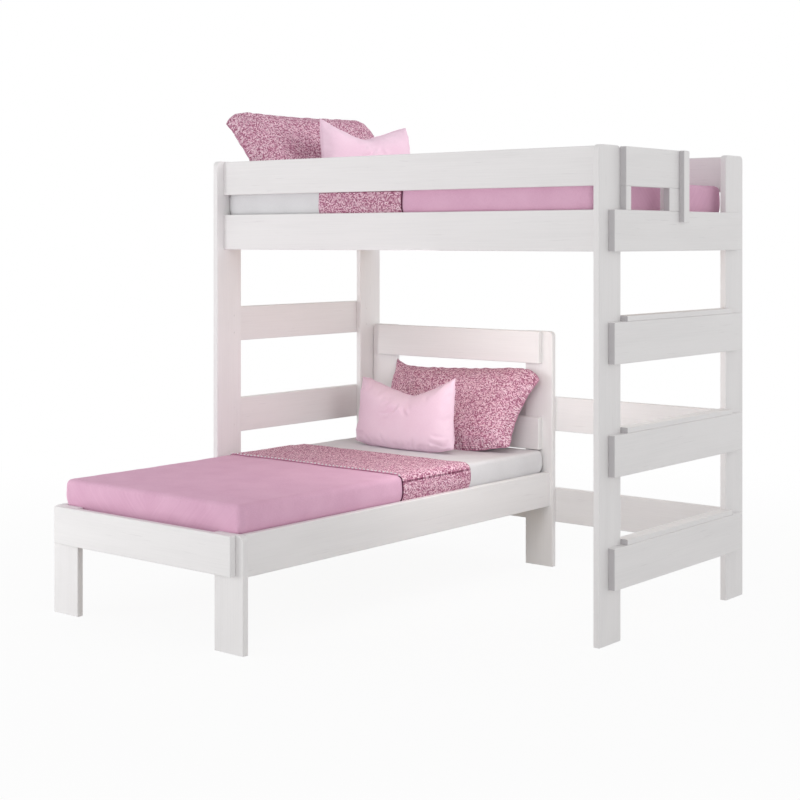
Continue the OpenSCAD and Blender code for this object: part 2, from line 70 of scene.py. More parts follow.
# The unevenness of the bedding: the height and width of each kind of swell
SWELL, SWELL_WAVE = 0.0013, 0.22  # of the mattress's skin
EDGE_SWELL, EDGE_WAVE = 0.0018, 0.13  # along the mattress's edges
SHEET_PUCKER, SHEET_WAVE = 0.0016, 0.035  # of the sheet at the mattress's corners
CORNER_REACH, CORNER_FAR = 0.07, 0.3  # how fast those fade, and where that stops
FOLD, FOLD_WAVE = 0.0013, 0.10  # of the cloths where they hang
CRINKLE, CRINKLE_WAVE = 0.0004, 0.06  # of the cloths all over
THROW_RIPPLE, THROW_WAVE = 0.0006, 0.07  # of the throw by itself
DRAWN_UP = (1, 1, 0.15)  # draws swells out into upright folds
STEP_BEFORE, STEP_AFTER = 0.015, 0.005  # where the throw steps up onto the blanket
RAIL_CLEAR = 0.035  # height above the rails from which the bedding stands free
STEEP = 0.6  # how much a cloth faces sideways from where on it hangs
MATTRESS_GRID = 0.022
CLOTH_GRID, CLOTH_FINE_GRID = 0.014, 0.008
BEYOND = 9.0  # the end of a cloth's box where the cloth has none

# A pillow: its width, height and thickness, the distance of its foot from the bed's
# head end, its lean from upright, the share by which its sides draw in, how sharply
# its upper corners droop or stand up, the size of its case's cells, the most by which
# the filling moves its cloth, and the depth of the puckers along its seam
PILLOWS = {
    "large": dict(width=0.874, height=0.430, thick=0.130, u=0.215, lean=30,
                  pull=0.07, ear=9, cell=0.0110, cap=0.016, pucker=0.0036),
    "small": dict(width=0.566, height=0.325, thick=0.110, u=0.375, lean=7,
                  pull=0.02, ear=2, cell=0.0085, cap=0.010, pucker=0.0018),
}
# Where each lies along and across its bed, its turn and roll, the droop of its upper
# left and right corners, how far its lower ones are tucked in, and the place and depth
# of the dent in its top
LAID = {
    "loft": {"large": (0, -0.080, 8, 0, (0.074, 0.092), (0.058, 0.058), 0, 0),
             "small": (0.010, 0.028, 3, 0, (-0.012, 0.006), (-0.018, -0.018), -0.05, 0.072)},
    "bed": {"large": (0, 0.080, 2, 3.0, (-0.036, 0.066), (-0.020, 0.060), 0, 0),
            "small": (0, -0.015, 3, 0.9, (-0.004, -0.034), (-0.018, -0.018), 0.15, 0.064)},
}
# Creases in a pillow's front: from and to as shares of its half width and height,
# then bow, width and depth
CREASES = {
    "large": [((-0.93, 0.92), (-0.50, 0.25), 0.020, 0.030, 0.012),
              ((0.84, -0.80), (0.38, -0.72), -0.012, 0.011, 0.014),
              ((0.90, -0.52), (0.52, -0.44), 0.010, 0.011, 0.011),
              ((0.97, 0.10), (0.74, 0.00), 0.004, 0.012, 0.008),
              ((0.20, -0.86), (0.44, -0.50), 0.010, 0.014, 0.008),
              ((-0.84, -0.60), (-0.50, -0.52), 0.010, 0.012, 0.008)],
    "small": [((0.02, 0.62), (-0.36, 0.06), 0.024, 0.0080, 0.0110),
              ((-0.16, 0.66), (-0.34, 0.36), 0.010, 0.0065, 0.0070),
              ((0.12, 0.56), (0.22, 0.10), -0.010, 0.0110, 0.0055),
              ((0.97, -0.62), (0.68, -0.48), 0.004, 0.0070, 0.0060),
              ((0.92, -0.90), (0.60, -0.66), 0.004, 0.0080, 0.0070),
              ((-0.95, -0.80), (-0.66, -0.60), 0.005, 0.0090, 0.0060)],
}
PILLOW_SAG = 0.05  # how far a pillow's top sags between its corners, as a share
CORNER_LIFT = 0.036  # how far its lower corners stand up
PILLOW_PRESS = 0.012  # depth to which its lower edge is pressed flat
DENT_ROUND = 0.003  # rounds the bottom of the dent in its top
SEAM_BEAD = 0.0013  # radius of the bead along its seam
SEAM_SHARP = 0.9  # how much of the seam's edge its smoothing keeps
SEAM_WAVE, SEAM_FADE, SEAM_STRAY = 0.055, 0.02, 0.7  # how the seam strays
PUCKER_WAVE, PUCKER_FADE = 0.030, 0.035  # width and length of the puckers at its seam
PUCKER_START = 0.012  # distance from the seam at which they are full
DRAWN_IN = 0.12  # draws them out towards its middle
RIDGE_AWAY, RIDGE_SHARE = 1.7, 0.6  # the ridge beside a crease, in widths and depths

SCREW_HEAD = 0.0046  # radius of a countersunk screw's head
SCREW_SHANK = 0.0021
SCREW_SINK = 0.0024  # length of its cone
RECESS_LONG, RECESS_WIDE = 1.25, 0.26  # its cross recess, in radii of the head
BRACKET_SCREW = 0.03  # the brackets' screws are shorter than this, the others longer


def srgb(red, green, blue):
    """The linear colour that shows as these values from 0 to 255."""
    return tuple((c / 255 / 12.92) if c < 11 else ((c / 255 + 0.055) / 1.055) ** 2.4
                 for c in (red, green, blue)) + (1.0,)


# ---------------------------------------------------------------- node trees

class Value:
    """A number that varies over a surface; arithmetic on it adds Math nodes."""

    def __init__(self, nodes, socket):
        self.nodes, self.socket = nodes, socket

    def math(self, operation, *others):
        inputs = dict(enumerate((self, *others)))
        return self.nodes.add("ShaderNodeMath", {"operation": operation}, inputs)

    def __add__(self, other):
        return self.math("ADD", other)

    def __sub__(self, other):
        return self.math("SUBTRACT", other)

    def __rsub__(self, other):
        return self.math("MULTIPLY", -1).math("ADD", other)

    def __mul__(self, other):
        return self.math("MULTIPLY", other)

    def __truediv__(self, other):
        return self.math("DIVIDE", other)

    __radd__, __rmul__ = __add__, __mul__


class Nodes:
    """A node tree that grows by one method."""

    def __init__(self, tree):
        self.tree = tree
        tree.nodes.clear()

    def add(self, kind, settings=None, inputs=None, output=0):
        """A new node with these settings and inputs; gives one of its outputs."""
        node = self.tree.nodes.new(kind)
        for key, value in (settings or {}).items():
            if key == "stops":
                while len(node.color_ramp.elements) < len(value):
                    node.color_ramp.elements.new(1)
                for element, (place, colour) in zip(node.color_ramp.elements, value):
                    element.position, element.color = place, colour
            else:
                setattr(node, key, value)
        for key, value in (inputs or {}).items():
            for one in value if isinstance(value, list) else [value]:
                if isinstance(one, Value):
                    self.tree.links.new(one.socket, node.inputs[key])
                else:
                    node.inputs[key].default_value = one
        return Value(self, node.outputs[output]) if node.outputs else None

    def part(self, vector, axis):
        return self.add("ShaderNodeSeparateXYZ", inputs={0: vector}, output=axis)

    def smooth(self, value, low, high):
        """0 below low and 1 above high, with a smooth rise between."""
        return self.add("ShaderNodeMapRange", {"interpolation_type": "SMOOTHSTEP"},
                        {0: value, 1: low, 2: high})

    def mix(self, share, first, second, how="MIX"):
        return self.add("ShaderNodeMix", {"data_type": "RGBA", "blend_type": how},
                        {0: share, 6: first, 7: second}, output=2)

    def noise(self, place, scale, detail=2.0, stretch=(1, 1, 1)):
        """Soft noise, about scale swells to the metre before it is stretched."""
        spread = self.add("ShaderNodeMapping", inputs={"Vector": place, "Scale": stretch})
        return self.add("ShaderNodeTexNoise",
                        inputs={"Vector": spread, "Scale": scale, "Detail": detail})

    def chance(self, *parts):
        """A random value for each whole-numbered place."""
        key = self.add("ShaderNodeCombineXYZ", inputs=dict(enumerate(parts)))
        return self.add("ShaderNodeTexWhiteNoise", inputs={"Vector": key})

    def bump(self, height, distance, strength=1.0):
        return self.add("ShaderNodeBump", inputs={
            "Height": height, "Distance": distance, "Strength": strength})


def material(name, build):
    """A material whose surface build(nodes) gives as the inputs of one shader."""
    made = bpy.data.materials.new(name)
    made.use_nodes = True
    nodes = Nodes(made.node_tree)
    shader = nodes.add("ShaderNodeBsdfPrincipled", inputs=build(nodes))
    nodes.add("ShaderNodeOutputMaterial", inputs={0: shader})
    return made


# ---------------------------------------------------------------- materials

PAINT = srgb(238, 236, 236)
PAINT_STREAK = srgb(234, 232, 232)
PAINT_MARK = srgb(220, 217, 218)
PAINT_SHADE = srgb(202, 199, 201)  # painted shade on the boards' cut ends, which face the front and back


def drawn_out(axis, times):
    """The scale that draws a pattern out along one axis."""
    return tuple(1 / times if k == axis else 1.0 for k in range(3))


def painted_wood(axis, shaded_ends):
    """White paint on softwood, its grain along one axis showing as faint streaks.
    It can also be greyer on what faces the front and the back: painted shade."""

    def build(nodes):
        place = nodes.add("ShaderNodeTexCoord", output="Object")
        normal = nodes.add("ShaderNodeTexCoord", output="Normal")
        brush = nodes.noise(place, 240, 3, drawn_out(axis, 60))
        bands = nodes.noise(place, 13, 2, drawn_out(axis, 7))
        pores = nodes.smooth(nodes.noise(place, 150, 2, drawn_out(axis, 22)), 0.66, 0.78)
        tone = nodes.smooth(brush * 0.45 + bands * 0.55, 0.34, 0.62)
        colour = nodes.mix(tone, PAINT_STREAK, PAINT)
        colour = nodes.mix(pores * 0.5, colour, PAINT_MARK)
        if shaded_ends:
            # painted shade: greyer on the faces towards the front and back
            end = nodes.smooth(nodes.part(normal, 1).math("ABSOLUTE"), 0.55, 0.95)
            colour = nodes.mix(end, colour, PAINT_SHADE)
        return {
            "Base Color": colour,
            "Roughness": 0.46 + brush * 0.14,
            "Normal": nodes.bump(brush + bands * 0.5 - pores * 0.5, 0.0005, 0.10),
        }

    return material(f"white_paint_along_{'xyz'[axis]}" + "_greyed" * shaded_ends, build)


def plain_timber(axis):
    """Unpainted pine of the slats, cleats and dowels."""

    def build(nodes):
        place = nodes.add("ShaderNodeTexCoord", output="Object")
        grain = nodes.noise(place, 130, 5, drawn_out(axis, 33))
        rings = nodes.noise(place, 24, 2, drawn_out(axis, 33))
        tone = nodes.smooth(grain * 0.5 + rings * 0.5, 0.38, 0.66)
        return {
            "Base Color": nodes.mix(tone, srgb(196, 164, 120), srgb(228, 206, 170)),
            "Roughness": 0.6 + grain * 0.2,
            "Normal": nodes.bump(grain, 0.001, 0.3),
        }

    return material("pine_along_" + "xyz"[axis], build)


def zinc_steel():
    """Zinc plated steel, a little cloudy."""

    def build(nodes):
        place = nodes.add("ShaderNodeTexCoord", output="Object")
        cloud = nodes.noise(place, 160, 3)
        return {
            "Base Color": nodes.mix(cloud, srgb(150, 153, 158), srgb(196, 199, 203)),
            "Metallic": 1.0,
            "Roughness": 0.25 + cloud * 0.25,
            "Normal": nodes.bump(cloud, 0.0004, 0.3),
        }

    return material("zinc_plated_steel", build)


def white_enamel():
    """The paint over the screws that hold the laps, a little orange-peeled."""

    def build(nodes):
        peel = nodes.noise(nodes.add("ShaderNodeTexCoord", output="Object"), 900, 2)
        return {
            "Base Color": nodes.mix(peel, PAINT_MARK, PAINT),
            "Roughness": 0.32 + peel * 0.1,
            "Normal": nodes.bump(peel, 0.0003, 0.3),
        }

    return material("white_enamel", build)


def plain_cloth(name, light, dark, thread, roughness=0.85):
    """A closely woven cloth of one colour, its threads laid on the cloth's own map."""

    def build(nodes):
        place = nodes.add("ShaderNodeUVMap")
        soft = nodes.noise(nodes.add("ShaderNodeTexCoord", output="Object"), 9, 3)
        along = nodes.noise(place, 1 / thread, 1, (1, 0.12, 1))
        across = nodes.noise(place, 1 / thread, 1, (0.12, 1, 1))
        weave = along * 0.5 + across * 0.5
        tone = nodes.smooth(weave * 0.6 + soft * 0.4, 0.34, 0.62)
        return {
            "Base Color": nodes.mix(tone, dark, light),
            "Roughness": roughness,
            "Specular IOR Level": 0.1,
            "Normal": nodes.bump(weave, thread * 0.5, 0.35),
        }

    return material(name, build)


WEFT = 0.0044  # height of a weft thread of the woven cloth
FLOAT = 0.0060  # length of a weft thread's visible float


def woven_cloth(name, yarns, gap_colour):
    """The throw's cloth: mixed rose yarns that pass over and under each other."""

    def build(nodes):
        place = nodes.add("ShaderNodeUVMap")
        wander = nodes.noise(place, 30, 1) - 0.5
        x = nodes.part(place, 0) / FLOAT + wander * 0.4
        y = nodes.part(place, 1) / WEFT + wander * 0.3
        row = y.math("FLOOR")
        shifted = x + row * 0.5
        fleck = nodes.chance(shifted.math("FLOOR"), row)
        yarn = nodes.add("ShaderNodeValToRGB", {"stops": yarns}, {0: fleck})
        across = shifted.math("FRACT") - 0.5
        up = y.math("FRACT") - 0.5
        swell = 1 - across * across * 2.6 - up * up * 3.0
        gap = nodes.smooth(swell, 0.10, 0.40)
        return {
            "Base Color": nodes.mix(gap, gap_colour, yarn),
            "Roughness": 0.92,
            "Specular IOR Level": 0.08,
            "Normal": nodes.bump(swell + fleck * 0.4, 0.0014, 0.6),
        }

    return material(name, build)


PAINTS = [painted_wood(axis, axis == 1) for axis in range(3)]  # by the grain's axis; those along Y get painted shade on their cut ends
SHADED_EDGE_PAINT = painted_wood(2, True)  # for upright pieces whose front edge is grey with painted shade
PINES = [plain_timber(axis) for axis in range(3)]
STEEL = zinc_steel()
ENAMEL = white_enamel()
SHEET = plain_cloth("white_sheet", srgb(226, 225, 227), srgb(219, 218, 220), 0.0012)
BLANKET = plain_cloth("pink_blanket", srgb(229, 184, 208), srgb(221, 173, 199), 0.0016)
BLUSH = plain_cloth("blush_cotton", srgb(237, 210, 225), srgb(231, 200, 217), 0.0011, 0.7)
ROSE = plain_cloth("rose_yarn", srgb(206, 150, 176), srgb(186, 126, 154), 0.0012)
TWEED = woven_cloth("rose_tweed", [
    (0.00, srgb(162, 94, 122)), (0.30, srgb(200, 138, 163)), (0.60, srgb(236, 187, 207)),
    (0.90, srgb(254, 225, 236))], srgb(106, 50, 74))
# a dark weave for the bead that paints the shadow along the throw's hanging foot edge
PAINTED_SHADOW_WEAVE = woven_cloth("dark_rose_binding", [
    (0.00, srgb(104, 50, 76)), (0.50, srgb(138, 76, 106)), (1.00, srgb(176, 110, 142))],
    srgb(96, 46, 70))


BARE_PINE = {"loft_slats": 1, "bed_slats": 0, "loft_cleats": 0, "bed_cleats": 1,
             "loft_dowels": 0}  # and the axis of its grain
BARE_STEEL = ("loft_brackets", "bed_brackets")
# upright pieces with painted shade on their front edges
SHADE_PAINTED_EDGES = ("entry_batten", "entry_block_front")


def dress_frame():
    """Gives each part of the frame its finish: paint with the grain along it, where
    it isn't one of the bare ones or one with painted shade on its front edge."""
    for name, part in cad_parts.items():
        low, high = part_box(name)
        size = high - low
        longest = max(range(3), key=lambda k: size[k])
        if name in BARE_PINE:
            finish = PINES[BARE_PINE[name]]
        elif name in BARE_STEEL:
            finish = STEEL
        elif name in SHADE_PAINTED_EDGES:
            finish = SHADED_EDGE_PAINT
        else:
            finish = PAINTS[longest]
        part.data.materials.clear()
        part.data.materials.append(finish)


# ------------------------------------------------------------------- meshes

def mesh_object(name, points, faces, edges=()):
    """A new object in the scene, with a mesh of these points, faces and edges."""
    mesh = bpy.data.meshes.new(name)
    mesh.from_pydata(np.asarray(points).tolist(), list(edges), faces)
    made = bpy.data.objects.new(name, mesh)
    bpy.context.scene.collection.objects.link(made)
    return made


def add_piece(name, points, faces, finish, slot, uv=None):
    """A smooth mesh that rides on the bed, with a map in metres where one is given."""
    piece = mesh_object(name, points, faces)
    mesh = piece.data
    mesh.materials.append(finish)
    if uv is not None:
        layer = mesh.uv_layers.new(name="cloth")
        corner = np.empty(len(mesh.loops), dtype=int)
        mesh.loops.foreach_get("vertex_index", corner)
        layer.data.foreach_set("uv", np.asarray(uv)[corner].astype(np.float32).ravel())
    mesh.shade_smooth()
    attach(piece, "root")
    return piece


def finished(piece):
    """The piece with its modifiers applied to its mesh."""
    result = bpy.data.meshes.new_from_object(
        piece.evaluated_get(bpy.context.evaluated_depsgraph_get()))
    old = piece.data
    piece.modifiers.clear()
    piece.data = result
    bpy.data.meshes.remove(old)
    result.name = piece.name
    return piece


def ripple(points, wave, seed, stretch=(1, 1, 1)):
    """A smooth irregular height between -1 and 1, with swells about wave across."""
    rng = np.random.default_rng(seed)
    places = np.asarray(points) * np.array(stretch)
    total = np.zeros(len(places))
    waves = 20
    for _ in range(waves):
        direction = rng.normal(size=3)
        direction /= np.linalg.norm(direction)
        pace = 2 * math.pi / (wave * rng.uniform(0.7, 1.6))
        total += np.sin(places @ direction * pace + rng.uniform(0, 2 * math.pi))
    return np.tanh(total / math.sqrt(waves))


def rise(value, low, high):
    """0 up to low, 1 from high on, and a smooth rise between."""
    t = np.clip((value - low) / (high - low), 0, 1)
    return t * t * (3 - 2 * t)


def box_skin(lines, sides):
    """Points and outward quads of the sides of a box, over its grid lines along u, v
    and z. A side is (axis, end), such as (2, 1) for the top."""
    index, quads = {}, []
    for axis, end in sides:
        a, b = [k for k in range(3) if k != axis]
        outward = (end == 1) == (axis != 1)
        for i in range(len(lines[a]) - 1):
            for j in range(len(lines[b]) - 1):
                quad = []
                for di, dj in ((0, 0), (1, 0), (1, 1), (0, 1)):
                    key = [0, 0, 0]
                    key[axis] = (len(lines[axis]) - 1) * end
                    key[a], key[b] = i + di, j + dj
                    quad.append(index.setdefault(tuple(key), len(index)))
                quads.append(quad if outward else quad[::-1])
    points = np.array([[lines[k][key[k]] for k in range(3)] for key in index])
    return points, quads


def grid_lines(low, high, step, round_low=0.0, round_high=0.0, turns=5):
    """Places from low to high about a step apart, and closer over round ends."""
    ends = [round_low * (1 - math.tan(math.pi / 4 * k / turns)) for k in range(turns, 0, -1)]
    starts = [low + e for e in ends] if round_low else []
    ends = [round_high * (1 - math.tan(math.pi / 4 * k / turns)) for k in range(1, turns + 1)]
    stops = [high - e for e in ends] if round_high else []
    a, b = low + round_low, high - round_high
    count = max(1, round((b - a) / step))
    return [*starts, *(a + (b - a) * k / count for k in range(count + 1)), *stops]


def round_off(points, low, high, radius):
    """Points of a box's skin drawn in to its round edges, and where each faces."""
    core = np.clip(points, np.array(low) + radius, np.array(high) - radius)
    facing = points - core
    facing /= np.linalg.norm(facing, axis=1)[:, None]
    return core + radius * facing, facing


# ------------------------------------------------------- repeats and edgings

def geometry_tree(name, sizes, build):
    """A Geometry Nodes tree with named inputs, which ends in Realize Instances and
    Set Material. build(nodes, inputs) gives the geometry."""
    tree = bpy.data.node_groups.new(name, "GeometryNodeTree")
    sockets = {"Geometry": "NodeSocketGeometry", **sizes, "Finish": "NodeSocketMaterial"}
    made = [tree.interface.new_socket(key, in_out="INPUT", socket_type=kind)
            for key, kind in sockets.items()]
    tree.interface.new_socket("Geometry", in_out="OUTPUT", socket_type="NodeSocketGeometry")
    nodes = Nodes(tree)
    group = tree.nodes.new("NodeGroupInput")
    inputs = {s.name: Value(nodes, group.outputs[s.name]) for s in made}
    whole = nodes.add("GeometryNodeRealizeInstances", inputs={0: build(nodes, inputs)})
    painted = nodes.add("GeometryNodeSetMaterial",
                        inputs={"Geometry": whole, "Material": inputs["Finish"]})
    nodes.add("NodeGroupOutput", inputs={0: painted})
    return tree


def set_from_tree(name, tree, points, edges, finish, slot, smooth=True, **values):
    """A plain mesh made by a tree from paths, riding on the bed."""
    piece = mesh_object(name, points, [], edges)
    modifier = piece.modifiers.new("repeat", "NODES")
    modifier.node_group = tree
    for item in tree.interface.items_tree:
        if item.in_out == "INPUT" and item.name in values:
            modifier[item.identifier] = values[item.name]
        elif item.in_out == "INPUT" and item.name == "Finish":
            modifier[item.identifier] = finish
    finished(piece)
    if smooth:
        piece.data.shade_smooth()
    else:
        piece.data.shade_flat()
    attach(piece, "root")
    return piece


def bead(nodes, inputs):
    """A round bead along the path."""
    path = nodes.add("GeometryNodeMeshToCurve", inputs={0: inputs["Geometry"]})
    ring = nodes.add("GeometryNodeCurvePrimitiveCircle",
                     inputs={"Resolution": 8, "Radius": inputs["Radius"]})
    return nodes.add("GeometryNodeCurveToMesh",
                     inputs={"Curve": path, "Profile Curve": ring, "Fill Caps": True})


def stitching(nodes, inputs):
    """Short stitches along the path, one every pitch."""
    path = nodes.add("GeometryNodeMeshToCurve", inputs={0: inputs["Geometry"]})
    spots = nodes.add("GeometryNodeResampleCurve", {"mode": "LENGTH"},
                      {"Curve": path, "Length": inputs["Pitch"]})
    tangent = nodes.add("GeometryNodeInputTangent")
    turn = nodes.add("FunctionNodeAlignRotationToVector", {"axis": "Z"}, {"Vector": tangent})
    thread = nodes.add("GeometryNodeMeshUVSphere", inputs={
        "Segments": 6, "Rings": 4, "Radius": 0.5})
    shape = nodes.add("ShaderNodeCombineXYZ", inputs={
        0: inputs["Thread"], 1: inputs["Thread"], 2: inputs["Length"]})
    return nodes.add("GeometryNodeInstanceOnPoints", inputs={
        "Points": spots, "Instance": thread, "Rotation": turn, "Scale": shape})


def countersunk(nodes, inputs):
    """A screw along each path, with a cross recess in the cone before its start."""
    path = nodes.add("GeometryNodeMeshToCurve", inputs={0: inputs["Geometry"]})
    ring = nodes.add("GeometryNodeCurvePrimitiveCircle",
                     inputs={"Resolution": 8, "Radius": inputs["Shank"]})
    shank = nodes.add("GeometryNodeCurveToMesh",
                      inputs={"Curve": path, "Profile Curve": ring, "Fill Caps": True})
    head, sink = inputs["Head"], inputs["Sink"]
    cone = nodes.add("GeometryNodeMeshCone", inputs={
        "Vertices": 16, "Radius Bottom": head, "Radius Top": inputs["Shank"],
        "Depth": sink})
    recess = []
    for wide, high in ((RECESS_LONG, RECESS_WIDE), (RECESS_WIDE, RECESS_LONG)):
        size = nodes.add("ShaderNodeCombineXYZ", inputs={0: head * wide, 1: head * high, 2: sink})
        recess.append(nodes.add("GeometryNodeMeshCube", inputs={"Size": size}))
    cut = nodes.add("GeometryNodeMeshBoolean", {"operation": "DIFFERENCE", "solver": "EXACT"},
                    {0: cone, 1: recess})
    before = nodes.add("ShaderNodeCombineXYZ", inputs={2: sink * -1})
    placed = nodes.add("GeometryNodeTransform", inputs={"Geometry": cut, "Translation": before})
    spots = nodes.add("GeometryNodeCurveToPoints", {"mode": "COUNT"}, {"Curve": path, "Count": 1})
    tangent = Value(nodes, spots.socket.node.outputs["Tangent"])
    turn = nodes.add("FunctionNodeAlignRotationToVector", {"axis": "Z"}, {"Vector": tangent})
    heads = nodes.add("GeometryNodeInstanceOnPoints", inputs={
        "Points": spots, "Instance": placed, "Rotation": turn})
    return nodes.add("GeometryNodeJoinGeometry", inputs={0: [shank, heads]})


BEAD = geometry_tree("bead along a path", {"Radius": "NodeSocketFloat"}, bead)
SCREWS = geometry_tree("countersunk screws", {
    "Head": "NodeSocketFloat", "Shank": "NodeSocketFloat", "Sink": "NodeSocketFloat"},
    countersunk)
STITCHING = geometry_tree("stitches along a path", {
    "Pitch": "NodeSocketFloat", "Length": "NodeSocketFloat", "Thread": "NodeSocketFloat"},
    stitching)


def run(points, closed=False):
    """The edges that join points into one path."""
    joined = [(i, i + 1) for i in range(len(points) - 1)]
    return joined + [(len(points) - 1, 0)] if closed else joined


def screws_in(node):
    """The two ends of the shank of each screw in a frame part, head end first."""
    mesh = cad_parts[node].data
    places = np.empty(len(mesh.vertices) * 3)
    mesh.vertices.foreach_get("co", places)
    corners = np.empty(len(mesh.loops), dtype=int)
    mesh.loops.foreach_get("vertex_index", corners)
    spots, index = np.unique(places.reshape(-1, 3).round(5), axis=0, return_inverse=True)
    corners = index.ravel()[corners].reshape(-1, 3)
    label, before = np.arange(len(spots)), None
    while before is None or (label != before).any():
        before = label.copy()
        np.minimum.at(label, corners, label[corners].min(1)[:, None])
    found = []
    for key in np.unique(label):
        own = spots[label == key]
        low, high = own.min(0), own.max(0)
        axis = int(np.argmax(high - low))
        middle = (low + high) / 2
        aside = np.delete(own - middle, axis, 1)
        wide = own[np.hypot(*aside.T) > 0.8 * SCREW_HEAD, axis].mean()
        inward = 1 if wide < middle[axis] else -1
        start, end = middle.copy(), middle.copy()
        start[axis] = wide + inward * SCREW_SINK
        end[axis] = high[axis] if inward > 0 else low[axis]
        found.append((start, end))
    return found


def add_screws(node):
    """The screws of a frame part: those through the posts painted over, those in the
    brackets bare."""
    found = screws_in(node)
    for kind, finish, long in (("lap", ENAMEL, True), ("bracket", STEEL, False)):
        ends = [end for pair in found for end in pair
                if (np.linalg.norm(pair[1] - pair[0]) > BRACKET_SCREW) == long]
        piece = set_from_tree(f"{node}_{kind}", SCREWS, ends,
                              [(k, k + 1) for k in range(0, len(ends), 2)], finish, "steel",
                              smooth=False, Head=SCREW_HEAD, Shank=SCREW_SHANK,
                              Sink=SCREW_SINK)
        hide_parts(node)


# ------------------------------------------------------------------ bedding

class Bed:
    """A made bed: u along it from the mattress's head end, v across it from its
    middle, and z up from the mattress's top."""

    def __init__(self, name, head_at_back, rail, seed):
        self.name, self.head_at_back, self.seed = name, head_at_back, seed
        low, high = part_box(name + "_mattress")
        rail_low, rail_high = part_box(rail)
        size = high - low
        self.length, self.width = (size.y, size.x) if head_at_back else (size.x, size.y)
        self.thick = size.z
        middle = (low + high) / 2
        self.head = (middle.x, high.y, high.z) if head_at_back else (low.x, middle.y, high.z)
        across = 0 if head_at_back else 1
        self.gap = max(rail_low[across] - high[across], low[across] - rail_high[across])
        self.rail_top = rail_high.z - high.z
        self.head_belly = HEAD_BELLY[name]

    def place(self, points):
        """These points of the bed in the whole object's frame."""
        u, v, z = np.asarray(points, float).T
        turned = (v, -u, z) if self.head_at_back else (u, v, z)
        return np.stack(turned, 1) + np.array(self.head)

    def put(self, kind, points, faces, finish, slot, uv):
        """A soft piece in place of the frame's plain solid of this kind."""
        piece = add_piece(f"{self.name}_{kind}_soft", self.place(points), faces,
                          finish, slot, uv)
        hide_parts(f"{self.name}_{kind}")
        return piece

    def free(self, points):
        """0 between the rails and 1 well above them."""
        return rise(points[:, 2], self.rail_top, self.rail_top + RAIL_CLEAR)

    def settling(self, points, facing):
        """How far the mattress's skin stands out from its even form, and with it
        what lies on it; between the rails it draws in where the cloths need room."""
        edge = 4 * np.clip(facing[:, 2], 0, 1) * (1 - np.clip(facing[:, 2], 0, 1))
        soft = (SWELL * ripple(points, SWELL_WAVE, self.seed)
                + EDGE_SWELL * edge * ripple(points, EDGE_WAVE, self.seed + 1))
        inner = rise(points[:, 0], 0.01, 0.08) * (facing[:, 2] > -0.3)
        free = self.free(points)
        layers = 3 * AIR + BLANKET_THICK + THROW_THICK
        side = 1 - np.abs(facing[:, 2])
        share = np.clip(points[:, 2] / self.rail_top, 0, 1)
        full = np.clip(np.sin(math.pi * (1 - (1 - share) ** 0.7)), 0, 1) ** 0.4
        reach = np.where(facing[:, 0] < 0, self.head_belly, 0.4 * MATTRESS_BELLY)
        belly = full * (MATTRESS_BELLY * np.abs(facing[:, 1]) + reach * np.abs(facing[:, 0]))
        return belly + soft * inner * free - (1 - free) * side * max(0, layers - self.gap)

    def drape(self, points, facing):
        """How far the cloths stand off the mattress in folds."""
        side = 1 - np.clip(facing[:, 2], 0, 1)
        folds = FOLD * side * (1 + ripple(points, FOLD_WAVE, self.seed + 2, DRAWN_UP))
        crinkle = CRINKLE * (1 + ripple(points, CRINKLE_WAVE, self.seed + 3))
        return (folds + crinkle) * self.free(points)


def add_mattress(bed):
    """The mattress in its fitted sheet, which puckers a little at the corners."""
    low = np.array([0, -bed.width / 2, -bed.thick])
    high = np.array([bed.length, bed.width / 2, 0])
    lines = [grid_lines(low[k], high[k], MATTRESS_GRID, MATTRESS_EDGE, MATTRESS_EDGE)
             for k in range(3)]
    points, quads = box_skin(lines, [(a, e) for a in range(3) for e in (0, 1)])
    points, facing = round_off(points, low, high, MATTRESS_EDGE)
    side = np.clip(1 - np.abs(facing[:, 2]), 0, 1)
    along = np.minimum(points[:, 0], bed.length - points[:, 0])
    fading = np.exp(-np.minimum(along, CORNER_FAR) / CORNER_REACH)
    corner = fading * side * bed.free(points)
    pucker = SHEET_PUCKER * corner * ripple(points, SHEET_WAVE, bed.seed + 5, DRAWN_UP)
    points = points + facing * (bed.settling(points, facing) - pucker)[:, None]
    flat = np.stack([points[:, 0], points[:, 1] + points[:, 2]], 1)
    piece = bed.put("mattress", points, quads, SHEET, "sheet", flat)
    return piece


def across_map(bed, points, facing, radius):
    """Where each point of a cloth over the bed lies on the flat cloth: u, and the
    way round from the bed's middle."""
    half = bed.width / 2 - radius
    turn = np.arctan2(np.abs(facing[:, 1]), np.maximum(facing[:, 2], 1e-9))
    down = np.maximum(0, -radius - points[:, 2])
    way = np.minimum(np.abs(points[:, 1]), half) + radius * turn + down
    return np.stack([points[:, 0], np.sign(points[:, 1]) * way], 1)


